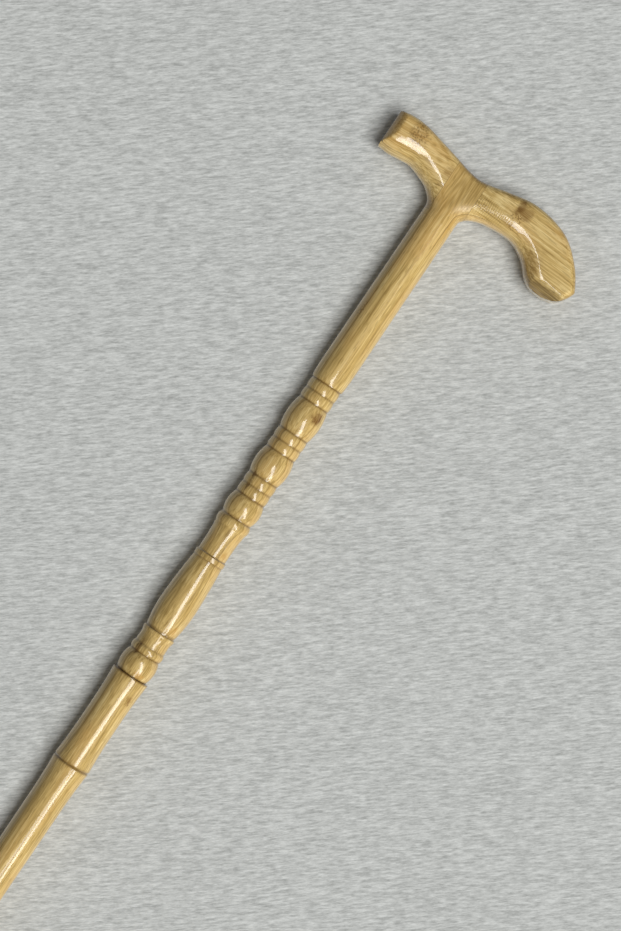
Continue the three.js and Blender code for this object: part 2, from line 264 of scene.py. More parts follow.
def arch_layer(material, place, centre, size):
    """Arches round a point a spot's length below its centre, as an amount and a colour."""
    nested = add_node(material, "Mapping", {
        "Vector": place, "Location": (-(centre[0] - size[0]) / arch_stretch, -centre[1], 0),
        "Scale": (1 / arch_stretch, 1, 0)})
    rings = add_node(material, "TexWave", {
        "Vector": nested, "Scale": wave_repeat / arch_spacing, "Distortion": 1.2,
        "Detail": 1, "Detail Scale": 0.5}, output="Fac", wave_type="RINGS", rings_direction="Z")
    spot = spot_at(material, place, centre, size, arch_strength)
    return both(material, rings, spot), amber


# %% [markdown]
# A culm's joint leaves a brown, speckled mark across the strips cut from it, and glue and sanding dust fill
# the lowest places. Two marks on the long arm are partly painted shade, where its faces turn from the light.
# Such marks have fixed places, so each is a soft spot whose edge a small noise frays. A streaked mark follows
# the fibres, as a stain does, and specks are broken up by a finer noise.

# %% Marks
frays_per_mm, fray_reach, specks_per_mm = 0.45, 5, 1.1


def mark_layers(material, place, grain, marks):
    """Each mark as an amount and a colour, with its edge frayed and its kind of pattern."""
    fray = add_node(material, "TexNoise", {
        "Vector": place, "Scale": frays_per_mm, "Detail": 2}, output="Color")
    centred_fray = add_node(material, "VectorMath", {0: fray, 1: (-0.5, -0.5, -0.5)}, operation="ADD")
    frayed = add_node(material, "VectorMath", {
        0: centred_fray, 1: (fray_reach, fray_reach, fray_reach), 2: place},
        operation="MULTIPLY_ADD")
    specks = add_node(material, "TexNoise", {"Vector": place, "Scale": specks_per_mm, "Detail": 1})
    kinds = {
        "specks": add_node(material, "MapRange", {
            "Value": specks, "From Min": 0.5, "From Max": 0.58}),
        "streaked": add_node(material, "MapRange", {
            "Value": grain["fibres"], "From Min": 0.35, "From Max": 0.6, "To Min": 1.0, "To Max": 0.6})}
    layers = []
    for centre, size, strength, hue, kind in marks:
        amount = spot_at(material, frayed, centre, size, strength)
        if kind in kinds:
            amount = both(material, amount, kinds[kind])
        layers.append((amount, hue))
    return layers


# %% [markdown]
# Lacquer is a clear glossy coat over a half-matt wood. The coat's own normal ripples a little where the
# sprayed lacquer settled, and more where the grain is figured, which breaks a window's reflection into the
# twist of a rope. The Principled shader's coat does this in one material, with no second shell of geometry.
# In the tight corner under the long arm nobody can polish well, so the coat is hazier there.

# %% Lacquer
ripples_per_mm, ripple_depth = 0.16, 0.00003  # a Bump node takes its depth in metres
figure_spacing, figure_depth = 1.35, 0.0001
coat_roughness, hazy_roughness = 0.065, 0.45


def lacquer(material, shader, place, grain, figure, dull):
    """Gloss and ripples of a lacquered wood. figure and dull are places, as a centre and a size, or None."""
    ripple = add_node(material, "TexNoise", {
        "Vector": place, "Scale": ripples_per_mm, "Detail": 2})
    bump = add_node(material, "Bump", {
        "Height": ripple, "Strength": 1.0, "Distance": ripple_depth})
    if figure:
        wave = add_node(material, "TexWave", {
            "Vector": place, "Scale": wave_repeat / figure_spacing, "Distortion": 4, "Detail": 1,
            "Detail Scale": 0.8}, output="Fac", bands_direction="Y")
        bump = add_node(material, "Bump", {
            "Height": both(material, wave, spot_at(material, place, *figure, 1.0)),
            "Strength": 1.0, "Distance": figure_depth, "Normal": bump})
    rough = add_node(material, "MapRange", {
        "Value": grain["fibres"], "From Min": 0.3, "From Max": 0.7, "To Min": 0.38, "To Max": 0.26})
    gloss = coat_roughness
    if dull:
        gloss = add_node(material, "MapRange", {
            "Value": spot_at(material, place, *dull, 1.0), "To Min": coat_roughness,
            "To Max": hazy_roughness})
    feed(shader, {
        "Normal": bump, "Coat Normal": bump, "Roughness": rough, "Coat Roughness": gloss,
        "Coat Weight": 1.0, "Coat IOR": 1.52, "Specular IOR Level": 0.3})


# %% [markdown]
# Now the whole finish. Each strip gets its own: its grain's angle, its tone, and a shift to another part of
# the noise, because no two strips of bamboo are alike. Dark grooves, and shade painted into the corners
# between turned members, come from an attribute that is written on the mesh further down, where the
# distance from the foot is easy to read.

# %% Lacquered bamboo
def bamboo_finish(name, grain_turn, contrast, tone, shift, marks, seams, figure, arches, dull):
    """Laminated bamboo, sanded, stained honey and lacquered. grain_turn is the grain's angle from the shaft
    in degrees and contrast its strength. tone runs from dark 0 to pale 1, and shift moves the strip to
    another part of the grain. figure, arches and dull are places, as a centre and a size, or None."""
    material, shader, place = new_finish(name)
    turned_place = add_node(material, "Mapping", {
        "Vector": place, "Rotation": (0, 0, math.radians(-grain_turn)), "Location": (shift, shift, 0)})
    grain = grain_noises(material, turned_place)
    colour = wood_colour(material, grain, contrast, tone)
    layers = grain_layers(material, place, grain, grain_turn, seams)
    if arches:
        layers.append(arch_layer(material, place, *arches))
    # The groove attribute holds the joint grooves' dark colour and shade painted into the corners between
    # members
    groove = add_node(material, "Attribute", {}, output="Fac", attribute_name="groove")
    layers.append((groove, groove_stain_and_shade_brown))
    layers += mark_layers(material, place, grain, marks)
    for amount, hue in layers:
        colour = mixed(material, amount, colour, paint(hue))
    feed(shader, {"Base Color": colour})
    lacquer(material, shader, place, grain, figure, dull)
    return material


# %% [markdown]
# ## The turned shaft
# The shaft is one long turning: a plain taper cut with grooves that imitate the joints of a bamboo culm, and
# above them beads, rings, a cove and a long vase. A turned shape is fully described by its profile, so the
# profile is written first, member by member, and then spun round the axis. A Screw modifier could do the
# spin, but bmesh gives the mesh at once, ready to be joined with the handle.

# %% Sizes of the shaft
foot_radius, taper_top_radius = 9, 10.6
plain_radius, head_radius, head_drop = 10.7, 10.5, 42
foot_end, foot_chamfer, ferrule_length, fit = 8, 0.5, 34, 0.3
joints, swell, swell_reach, joint_depth = [78, 214, 350, 486], 1.0, 24, 0.65
step_up, step_gap = 546.6, 0.3
valley, ring, bead, vase, collar, neck = 9.4, 9.8, 11, 11.25, 9.8, 9


def lower_radius(x):
    """The taper below the beads, swelling towards each joint and towards the step."""
    start = ferrule_length + fit
    along = min(max((x - start) / (joints[-1] - start), 0), 1)
    nearest = min(abs(x - joint) for joint in [*joints, step_up])
    taper = foot_radius + (taper_top_radius - foot_radius) * along
    return taper + swell * max(0, 1 - nearest / swell_reach) ** 2


# %% [markdown]
# A bead, a ring or a cove is one idea: the radius swells from the valley before it to a crest and falls to
# the valley after it. Where two members meet, the corner is darkened, partly by dirt and lacquer that collect
# there and partly as painted shade, so each corner is noted too, with the width and strength of its dark
# line.

# %% Helpers for a profile
profile = []
dark_lines_and_shade = []
corner_gap, corner_shade_width = 0.02, 0.7


def straight(*points):
    """Profile points given as pairs of radius and distance from the foot."""
    profile.extend(points)


def darken_and_shade(x, width, strength):
    """Note a dark line round the shaft, for a groove's own colour and for shade painted into a corner."""
    dark_lines_and_shade.append((x, width, strength))


def crown(start, length, crest, low=valley, high=valley, steps=14, shade=0.5):
    """A rounded member: it swells from low to its crest and falls back to high."""
    for i in range(steps + 1):
        f = i / steps
        base = low + (high - low) * f
        radius = base + (crest - base) * (1 - (2 * f - 1) ** 2)
        profile.append((radius, start + corner_gap + f * (length - 2 * corner_gap)))
    # Painted shade in the corner where this member ends
    darken_and_shade(start + length, corner_shade_width, shade)
    return start + length


# %% [markdown]
# The lower part imitates a culm: a plain taper that swells a little towards each joint, with a fine groove
# cut at the joint itself. It ends at a step under the beads.

# %% Taper with its joints
joint_stations = [1, 1.5, 2.5, 4, 6, 9, 13, 18, 24]
step_stations = [24, 18, 13, 9, 6, 4, 2.5, 1.2, 0.4]

straight((0, foot_end), (foot_radius - foot_chamfer, foot_end), (foot_radius, foot_end + foot_chamfer))
straight((foot_radius, ferrule_length + fit))
for joint in joints:
    straight(*((lower_radius(joint - away), joint - away) for away in reversed(joint_stations)))
    straight((lower_radius(joint) - joint_depth, joint))
    straight(*((lower_radius(joint + away), joint + away) for away in joint_stations))
    # The joint's dark line is the groove's own brown, with shade painted into the groove
    darken_and_shade(joint, width=1.1, strength=0.8)
straight(*((lower_radius(step_up - away), step_up - away) for away in step_stations))
straight((lower_radius(step_up) - 0.2, step_up))
# Shade painted into the corner at the step
darken_and_shade(step_up + 0.2, width=0.75, strength=1.0)
print("taper:", len(profile), "points up to", step_up, "mm")

# %% [markdown]
# Above the step the turner shows what the lathe can do: a bead, a ring and a cove, a long vase, a collar, a
# hollow neck, three beads with a pair of rings over each, and a quarter round that leads into the plain
# shaft. The lengths and crests were measured on the photograph, in millimetres.

# %% Beads, vase, collar and neck
vase_rise, vase_fall, collar_length = 17, 31, 4
neck_length, neck_flare, ring_length, bead_lengths, lead_in = 18.4, 0.9, 6.6, [14, 17.6, 20.6], 14

# Each member's shade, and each dark line noted here, is shade painted into a corner between members
x = crown(step_up + step_gap, length=14, crest=bead + 0.15, low=valley + 0.5, steps=20, shade=0.75)
x = crown(x, length=5.1, crest=ring + 0.5, low=valley + 0.4, high=valley + 0.1, steps=10, shade=0.4)
x = crown(x, length=8.1, crest=valley, low=valley + 0.1, high=ring + 0.3, shade=0)
x = crown(x, length=2.1, crest=ring + 0.4, low=ring + 0.2, high=ring, steps=8, shade=0)
darken_and_shade(x + 0.5, width=0.65, strength=0.9)
straight((valley, x + 0.05), (valley, x + 0.95))
x += 1
for i in range(1, 17):
    straight((vase - (vase - valley - 0.1) * (1 - i / 16) ** 2, x + vase_rise * i / 16))
x += vase_rise
for i in range(1, 25):
    straight((vase - (vase - valley) * (i / 24) ** 1.6, x + vase_fall * i / 24))
x += vase_fall
darken_and_shade(x, width=0.6, strength=0.5)
straight((collar - 0.2, x + 0.2), (collar, x + 0.7), (collar, x + 3.2))
x += collar_length
darken_and_shade(x - 0.3, width=0.6, strength=0.4)
for i in range(21):
    straight((neck + neck_flare * (i / 20) ** 3, x + neck_length * i / 20))
x = crown(x + neck_length, ring_length, crest=ring + 0.85, low=neck + neck_flare, shade=0.6)
for bead_length in bead_lengths:
    x = crown(x, bead_length, crest=bead, steps=22, shade=0.8)
    x = crown(x, ring_length, crest=ring, shade=0.6)
    x = crown(x, ring_length, crest=ring, shade=0.75)
for i in range(1, 17):
    rise = math.sqrt(1 - (1 - i / 16) ** 2)
    straight((valley + (plain_radius - valley) * rise, x + lead_in * (i / 16) ** 1.4))
plain_start = x + lead_in
shaft_top = stick_length - head_drop
straight((head_radius, shaft_top))
print("profile points:", len(profile), "plain shaft from", round(plain_start, 1), "mm")

# %% [markdown]
# A full turn of spin closes the surface on itself. Merging its last step with its first, and the points on
# the axis, leaves no seam and no pinched pole.

# %% Spin the profile
round_steps, touching = 96, 1e-4


def turned(points):
    """Spin pairs of radius and distance round the stick's axis, with seams and poles closed."""
    bm = bmesh.new()
    corners = [bm.verts.new((x, r, 0)) for r, x in points]
    edges = [bm.edges.new(pair) for pair in zip(corners, corners[1:])]
    bmesh.ops.spin(bm, geom=corners + edges, cent=(0, 0, 0), axis=(1, 0, 0), angle=2 * math.pi,
                   steps=round_steps, use_merge=True)
    bmesh.ops.remove_doubles(bm, verts=bm.verts, dist=touching)
    return bm


shaft = turned(profile)
print("turned shaft:", len(shaft.faces), "faces")

# %% [markdown]
# ## The carved handle
# The handle is sawn to its outline from a glued blank 27 mm thick, and its edges are rounded over, broadly
# where the fingers go and tightly along the palm. A bevel can't run from a round shaft into flat sides, so
# the handle is draped instead: a grid is laid over the outline, and each of its points rises as high as the
# rounding of the nearest edges lets it. The same surface mirrored below makes the whole. The outlines are
# smooth curves through a few points that were measured across the stick and down from its top.

# %% Outlines of the handle
half_thickness = 13.5
tip = (-79.5, 43.3)
palm_line = [
    (51.8, 1.6), (45, 0), (34.8, 0.3), (22.6, 2.8), (10.4, 5.6), (-1, 8.3), (-10, 8.8), (-23.4, 6),
    (-40, 3.2), (-55.5, 4.9), (-68.4, 10.1), (-79.8, 20.4), (-86.6, 30.3), (-87.4, 34), (-83.6, 40.6), tip]
short_underside = [
    (51.8, 24.6), (45, 25.1), (38, 24.4), (31, 24), (24.5, 25.9), (17.5, 28.8), (12.6, 33),
    (head_radius + 0.4, 36), (head_radius, 39), (head_radius, head_drop)]
long_underside = [
    (-head_radius, head_drop), (-head_radius, 38), (-11, 34.8), (-14.8, 31.2), (-22, 28.5), (-33.6, 27.3),
    (-43, 28.3), (-51.9, 33.2), (-59, 40.4), (-65, 43.8), (-73, 44.6), tip]


def smooth_line(points, steps=24):
    """A smooth curve through pairs of distance across and drop below the top of the stick."""
    knots = [Vector((stick_length - drop, across, 0)) for across, drop in points]
    ends = [2 * knots[0] - knots[1], *knots, 2 * knots[-1] - knots[-2]]
    line = []
    for i in range(1, len(knots)):
        before, start, end, after = ends[i - 1:i + 3]
        reach = (end - before) / 6, (after - start) / 6
        line += interpolate_bezier(start, start + reach[0], end - reach[1], end, steps)[:-1]
    return [*line, knots[-1]]


def along(line, share):
    """The point at a share of a line's length."""
    lengths = [(b - a).length for a, b in zip(line, line[1:])]
    left = share * sum(lengths)
    for a, b, length in zip(line, line[1:], lengths):
        if left <= length:
            return a.lerp(b, left / length)
        left -= length
    return line[-1].copy()


palm, short_under, long_under = (smooth_line(p) for p in (palm_line, short_underside, long_underside))
print("palm line:", round(sum((b - a).length for a, b in zip(palm, palm[1:])), 1), "mm")

# %% [markdown]
# How high does the surface rise at a point? Each edge answers with its own rounding: nothing on the line,
# full thickness once the point is a radius inside. The lowest answer wins, so two roundings meet in the
# crisp mitre that a rasp leaves. A tree of upright walls finds the nearest place on a line quickly. A
# rounding has a radius and a fullness, where 2 is a quarter circle and 1 a flat facet with a crisp ridge.

# %% Roundings of the handle's edges
quarter_circle, palm_round, broad_round, hollow_round = 2, 4, 13.4, 10
short_end_facet, nose_facet = (5.7, 1.3), (7.8, 1.2)
broad_share = 0.3  # the short arm's rounding stays broad over this share of its underside
wall_reach, hollow_overrun = 50, 12


def wall_on(line):
    """A tall upright wall on a line. The way from a point to the wall is the way to the line."""
    corners = [point + Vector((0, 0, z)) for point in line for z in (-wall_reach, wall_reach)]
    return BVHTree.FromPolygons(corners, [(i, i + 1, i + 3, i + 2) for i in range(0, len(corners) - 2, 2)])


def shaft_side(side):
    """The outline of the shaft's topmost part on one side."""
    ends = (shaft_top - 2 * head_radius, shaft_top)
    return [Vector((x, side * head_radius, 0)) for x in ends]


def blend(start, end, f):
    """From start to end with soft ends, as f goes from 0 to 1."""
    f = min(max(f, 0), 1)
    return start + (end - start) * f * f * (3 - 2 * f)


# The nose has a facet that meets the round hollow before it at a mitre, so the hollow's line runs straight
# on past that corner.
nose_corner, nose_end = Vector((stick_length - 43.5, -62, 0)), Vector((stick_length - 46.5, -88, 0))
hollow = [point for point in long_under if point.y > nose_corner.y]
hollow.append(hollow[-1] + (hollow[-1] - hollow[-6]).normalized() * hollow_overrun)

# Each edge of the outline: its line, and its rounding at a share of that line
edge_kinds = [
    (palm, lambda f: (palm_round, quarter_circle)),
    ([palm[0], short_under[0]], lambda f: short_end_facet),
    (short_under, lambda f: (
        blend(broad_round, head_radius, (f - broad_share) / (1 - broad_share)), quarter_circle)),
    (hollow, lambda f: (blend(head_radius, hollow_round, f), quarter_circle)),
    ([nose_corner, nose_end], lambda f: nose_facet),
    (shaft_side(1), lambda f: (head_radius, quarter_circle)),
    (shaft_side(-1), lambda f: (head_radius, quarter_circle))]
rounded_edges = []
for line, kind in edge_kinds:
    parts = len(line) - 1
    rounded_edges.append((wall_on(line), [kind((i + 0.5) / parts) for i in range(parts)]))
print("rounded edges:", len(rounded_edges))

# %% [markdown]
# The handle's sides are no flat planes. They make a saddle: as thin as the shaft where it meets the shaft,
# and thicker out along both arms.

# %% Height of the carved surface
saddle_start, saddle_length, saddle_ease = 1, 34, 6


def eased(v):
    """A straight rise that starts softly."""
    return max(v, 0) ** 2 / (2 * saddle_ease) if v < saddle_ease else v - saddle_ease / 2


def full_height(point):
    """Half the handle's thickness at a point away from the edges."""
    out = abs(point.y) - saddle_start
    rise = (eased(out) - eased(out - saddle_length)) / saddle_length
    return head_radius + (half_thickness - head_radius) * rise


def surface_height(point):
    """The lowest height that the full thickness and the rounded edges allow at a point."""
    top = full_height(point)
    heights = []
    for wall, kinds in rounded_edges:
        _, _, part, inside = wall.find_nearest(Vector((point.x, point.y, 0)))
        radius, fullness = kinds[part]
        radius = min(radius, top)
        off = max(1 - inside / radius, 0)
        heights.append(top - radius + radius * max(1 - off ** fullness, 0) ** (1 / fullness))
    return min(heights)


print("height over the palm's middle:", round(surface_height(Vector((885, 0, 0))), 2), "mm")

# %% [markdown]
# The grid needs to know where its columns go. Each station is a straight line from the underside to the
# palm. Above the shaft the stations start from the shaft's own round end, point for point, so that shaft and
# handle can be merged without a seam.

# %% Stations from the underside to the palm
palm_above_shaft = (0.275, 0.345)  # shares of the palm's length
short_stations, short_crowding, long_stations, long_crowding = 90, 0.9, 170, 1.15
half_round = round_steps // 2
stations = []
for i in range(short_stations):
    f = (i / short_stations) ** short_crowding
    foot = along(short_under, f)
    stations.append((foot, along(palm, f * palm_above_shaft[0]), None))
for i in range(half_round + 1):
    angle = math.pi * i / half_round
    foot = Vector((shaft_top, head_radius * math.cos(angle), 0))
    share = palm_above_shaft[0] + (palm_above_shaft[1] - palm_above_shaft[0]) * i / half_round
    stations.append((foot, along(palm, share), head_radius * math.sin(angle)))
for i in range(1, long_stations + 1):
    f = (i / long_stations) ** long_crowding
    foot = along(long_under, f)
    share = palm_above_shaft[1] + (1 - palm_above_shaft[1]) * f
    stations.append((foot, along(palm, share), None))
print("stations:", len(stations))

# %% [markdown]
# The rows lie close together over the rounded edges and wide apart on the flat, which puts the polygons
# where the light shows curvature.

# %% Drape the grid over the outline
low_rows = [1 - math.cos(math.radians(a)) for a in range(0, 91, 6)]
high_rows = [1 - math.cos(math.radians(a)) for a in range(90, -1, -10)]
middle_rows, narrow_station, merging = 10, 8, 1e-3
row_count = len(low_rows) + middle_rows + len(high_rows)


def row_shares(width):
    """Where the rows cross a station, as shares of its width: close together over the rounded edges."""
    if width < narrow_station:
        return [i / (row_count - 1) for i in range(row_count)]
    scale = min(1, (width - palm_round) / (head_radius * 1.15))
    low = [d * head_radius * scale for d in low_rows]
    high = [width - palm_round * d for d in high_rows]
    between = [low[-1] + (high[0] - low[-1]) * (i + 1) / (middle_rows + 1) for i in range(middle_rows)]
    return [d / width for d in low + between + high]


head = bmesh.new()
bmesh.ops.create_grid(head, x_segments=len(stations) - 1, y_segments=row_count - 1, size=1)
shares = [row_shares((crest - foot).length) for foot, crest, _ in stations]
for vert in head.verts:
    station = round((vert.co.x + 1) / 2 * (len(stations) - 1))
    row = round((vert.co.y + 1) / 2 * (row_count - 1))
    foot, crest, foot_height = stations[station]
    place = foot.lerp(crest, shares[station][row])
    if row > 0 and station < len(stations) - 1:
        foot_height = None
    vert.co = (place.x, place.y, surface_height(place) if foot_height is None else foot_height)
at_tip = [v for v in head.verts if (v.co.xy - palm[-1].xy).length < merging]
bmesh.ops.remove_doubles(head, verts=at_tip, dist=merging)
print("draped grid:", len(head.faces), "faces")

# %% [markdown]
# The draped sheet is the upper half's skin. Its open edge is extruded down to the middle plane, and the
# mirror brings the lower half. The edge at the shaft stays open, because the shaft closes it.

# %% Walls down to the middle, then the mirrored half
rim = [edge for edge in head.edges if edge.is_boundary]
at_shaft = [e for e in rim if all(abs(v.co.x - shaft_top) < touching for v in e.verts)]
walls = bmesh.ops.extrude_edge_only(head, edges=[e for e in rim if e not in set(at_shaft)])
for item in walls["geom"]:
    if isinstance(item, bmesh.types.BMVert):
        item.co.z = 0
bmesh.ops.mirror(head, geom=head.verts[:] + head.edges[:] + head.faces[:], axis="Z", merge_dist=1e-6)
print("both halves:", len(head.faces), "faces")

# %% [markdown]
# Shaft and handle become one closed form, as they are once the glued blank leaves the carver's hands. The
# groove attribute is written now, with the grooves' dark colour and the painted shade of the corners: at each
# point the strongest of the dark lines counts.

# %% Join shaft and handle
joined = bpy.data.meshes.new("carved form")
head.to_mesh(joined)
shaft.from_mesh(joined)
bpy.data.meshes.remove(joined)
head.free()
carved = shaft
at_joint = [v for v in carved.verts if abs(v.co.x - shaft_top) < merging]
bmesh.ops.remove_doubles(carved, verts=at_joint, dist=merging)
bmesh.ops.recalc_face_normals(carved, faces=carved.faces)
groove = carved.verts.layers.float.new("groove")
for vert in carved.verts:
    if vert.co.x < plain_start:
        vert[groove] = max(strength * math.exp(-((vert.co.x - start) / width) ** 2)
                           for start, width, strength in dark_lines_and_shade)
open_edges = [e for e in carved.edges if not e.is_manifold]
print("carved form:", len(carved.faces), "faces,", len(open_edges), "open edges, volume",
      round(carved.calc_volume() / 1000, 1), "cm3")

# %% [markdown]
# ## Blocks and strips
# The handle's two arms are separate blocks, glued to the sides of the shaft's head so that their grain runs
# along the handle. Every block is a stack of five strips. Both kinds of seam are flat, so the carved form is
# cut with planes and each cut is closed, which is how the real pieces meet.

# %% Cuts with closed faces
short_seam, long_seam = 8, -12.5
glue_planes = [-8.1, -2.7, 2.7, 8.1]
hard_edge = math.radians(32)


def cut(bm, point, normal, clear=True):
    """Cut with a plane. The side that the normal points to is cleared away and the cut is closed, or with
    clear=False the surface is only divided."""
    made = bmesh.ops.bisect_plane(bm, geom=bm.verts[:] + bm.edges[:] + bm.faces[:], dist=touching,
                                  plane_co=point, plane_no=normal, clear_outer=clear)
    if clear:
        edges = [g for g in made["geom_cut"] if isinstance(g, bmesh.types.BMEdge)]
        bmesh.ops.triangle_fill(bm, edges=edges, use_beauty=True)
    return bm


def smooth_but_sharp(bm):
    """Normals out, smooth faces, and a hard edge wherever the surface turns sharply."""
    bmesh.ops.recalc_face_normals(bm, faces=bm.faces)
    for face in bm.faces:
        face.smooth = True
    for edge in bm.edges:
        edge.smooth = edge.calc_face_angle(0) < hard_edge


# %% [markdown]
# The long arm takes the whole height of the head, but the short arm sits on a shoulder of the shaft, so the
# shaft's block has a notch. Two planes divide the block's surface, what lies beyond both of them is deleted,
# and two flat faces close the notch.

# %% The shaft's own block
long_block = cut(carved.copy(), (0, long_seam, 0), (0, 1, 0))
short_block = cut(cut(carved.copy(), (0, short_seam, 0), (0, -1, 0)), (shoulder, 0, 0), (-1, 0, 0))
shaft_block = cut(carved.copy(), (0, long_seam, 0), (0, -1, 0))
cut(shaft_block, (0, short_seam, 0), (0, 1, 0), clear=False)
cut(shaft_block, (shoulder, 0, 0), (1, 0, 0), clear=False)
centres = [(face, face.calc_center_median()) for face in shaft_block.faces]
notch = [face for face, middle in centres if middle.x > shoulder and middle.y > short_seam]
bmesh.ops.delete(shaft_block, geom=notch, context="FACES")
corner = [v for v in shaft_block.verts if v.is_boundary
          and abs(v.co.x - shoulder) < merging and abs(v.co.y - short_seam) < merging]
inner_edge = shaft_block.edges.new(corner)
for axis, level in [(1, short_seam), (0, shoulder)]:
    loop = [e for e in shaft_block.edges if (e.is_boundary or e == inner_edge)
            and all(abs(v.co[axis] - level) < merging for v in e.verts)]
    bmesh.ops.triangle_fill(shaft_block, edges=loop, use_beauty=True)
for name, block in [("shaft", shaft_block), ("short arm", short_block), ("long arm", long_block)]:
    print(name, "block:", round(block.calc_volume() / 1000, 2), "cm3,",
          sum(not e.is_manifold for e in block.edges), "open edges")

# %% [markdown]
# Each finished piece rides on the stick's one body, takes the place of its CAD node, and goes into a
# material slot that tells bamboo from rubber.

# %% Hand a piece over
def finish_piece(bm, name, material, node):
    """A finished piece in the model's metres, riding on the stick in place of its CAD node."""
    smooth_but_sharp(bm)
    bm.transform(stick_to_model)
    mesh = bpy.data.meshes.new(name)
    bm.to_mesh(mesh)
    bm.free()
    mesh.materials.append(material)
    piece = bpy.data.objects.new(name, mesh)
    bpy.context.scene.collection.objects.link(piece)
    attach(piece, "root")
    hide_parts(node)
    return piece


# %% [markdown]
# The strips differ in tone, and those on top carry the marks that the eye finds first: knots, glue in the
# corners of the beads, a speckled joint on the short arm and a dark one on the long arm. The dark patch on
# the long arm's inner rounding and the dark facet of its nose are partly brown wood and partly painted shade.

# %% Tones and marks of the strips
# Each block: its form, its grain's angle and contrast, its strips' tones from below, and its seams
blocks = {
    "shaft": (shaft_block, 0, 0.72, [0.42, 0.55, 0.5, 0.5, 0.48], (short_seam, long_seam)),
    "short_arm": (short_block, 93, 1, [0.5, 0.62, 0.45, 0.6, 0.58], (short_seam,)),
    "long_arm": (long_block, 87, 1, [0.5, 0.45, 0.6, 0.6, 0.58], (long_seam,))}
# Marks on the strips that lie on top, as (centre, size, strength, colour, kind)
top_marks_and_painted_shade = {
    "shaft": [
        ((484.2, -2.9, 9.9), (1.3, 1.3, 2.5), 0.85, groove_stain_and_shade_brown, "streaked"),
        ((534.4, -7.2, 8.2), (4, 2.6, 3), 0.75, node_brown, "streaked"),
        ((549.5, -4, 10), (2.5, 4.5, 4), 0.6, tint_orange, "streaked"),
        ((564, 5.4, 8.1), (9, 1.6, 2), 0.8, glue_brown, "streaked"),
        ((581, -6.8, 8.5), (4, 3, 4), 0.6, tint_orange, "streaked"),
        ((632.4, -6.5, 6.5), (3.5, 2.5, 3), 0.6, tint_orange, "streaked"),
        ((674, 5.4, 8.1), (4, 1.6, 2), 0.85, glue_brown, "streaked"),
        ((681, 5.4, 8.1), (3, 1.6, 2), 0.85, glue_brown, "streaked"),
        ((727, -7, 8.4), (5.5, 4.5, 5), 0.95, "#6E4510", "streaked"),
        ((793, 7.4, 7.6), (7, 1.6, 2), 0.6, node_brown, "specks"),
        ((893, -2, 10), (40, 22, 16), 0.14, "#A87C3C", "even")],
    "short_arm": [
        ((892, 43, 12), (13, 15, 9), 0.3, tint_orange, "streaked"),
        ((893, 35.6, 12), (9, 6.5, 8), 0.45, "#8A6428", "streaked"),
        ((893, 35.3, 12), (11, 7, 8), 0.6, "#6E5018", "specks"),
        ((884, 9.5, 12), (6, 4, 6), 0.35, node_brown, "streaked")],
    "long_arm": [
        ((891, -35.3, 13), (6, 3.4, 8), 0.9, "#6E4A14", "streaked"),
        ((889.2, -39.5, 13), (5, 6.5, 8), 0.75, node_brown, "streaked"),
        ((884.4, -36.8, 13), (4, 5, 7), 0.7, node_brown, "specks"),
        ((878.6, -37.6, 11.5), (2.2, 6, 5), 0.6, node_brown, "specks"),
        # Partly painted shade: these two darken the long arm's inner rounding and its nose facet, faces
        # turned from the light
        ((867.5, -57.5, 9.5), (10, 10, 9), 0.5, "#83602A", "streaked"),
        ((857.6, -73, 8), (8.5, 23, 9), 1.0, "#75603A", "streaked")]}
# Places of figured grain, nested arches and hazy lacquer, as a centre and a size
figured = {"long_arm": ((878, -20, 12), (11, 16, 12))}
arched = {"shaft": ((880, -0.5, 12), (26, 9, 14))}
hazy = {"shaft": ((873, -9, 8), (14, 9, 12))}

# %% [markdown]
# Two pins cross each seam, and the middle strips have holes for them. A Boolean with a cylinder drills them,
# a little wider and longer than the pins, whose CAD boxes tell where they are.

# %% Pin holes
def object_from(bm, name):
    """A plain object from a bmesh, which is freed."""
    mesh = bpy.data.meshes.new(name)
    bm.to_mesh(mesh)
    bm.free()
    plain = bpy.data.objects.new(name, mesh)
    bpy.context.scene.collection.objects.link(plain)
    return plain


def bored(bm, arms):
    """The strip with a hole for each pin that crosses its seam, a little wider and longer than the pin."""
    strip = object_from(bm, "strip to bore")
    drills = []
    for arm in arms:
        for i in (1, 2):
            low, high = (stick_to_model.inverted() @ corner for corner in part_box(f"{arm}_pin_{i}"))
            hole_radius = (high.x - low.x) / 2 + fit
            drill = bmesh.new()
            bmesh.ops.create_cone(
                drill, cap_ends=True, segments=48, radius1=hole_radius, radius2=hole_radius,
                depth=high.y - low.y + 2 * fit,
                matrix=Matrix.Translation((low + high) / 2) @ Matrix.Rotation(math.pi / 2, 4, "X"))
            drills.append(object_from(drill, "drill"))
            bore = strip.modifiers.new("bore", "BOOLEAN")
            bore.operation, bore.solver, bore.object = "DIFFERENCE", "EXACT", drills[-1]
    result = bmesh.new()
    result.from_object(strip, bpy.context.evaluated_depsgraph_get())
    for unwanted in [strip, *drills]:
        data = unwanted.data
        bpy.data.objects.remove(unwanted)
        bpy.data.meshes.remove(data)
    return result


# %% [markdown]
# Sawing comes last: each block is cut at the glue planes, and the middle strip is bored.

# %% Five strips from each block
strip_count, middle_strip, noise_shift = 5, 2, 370

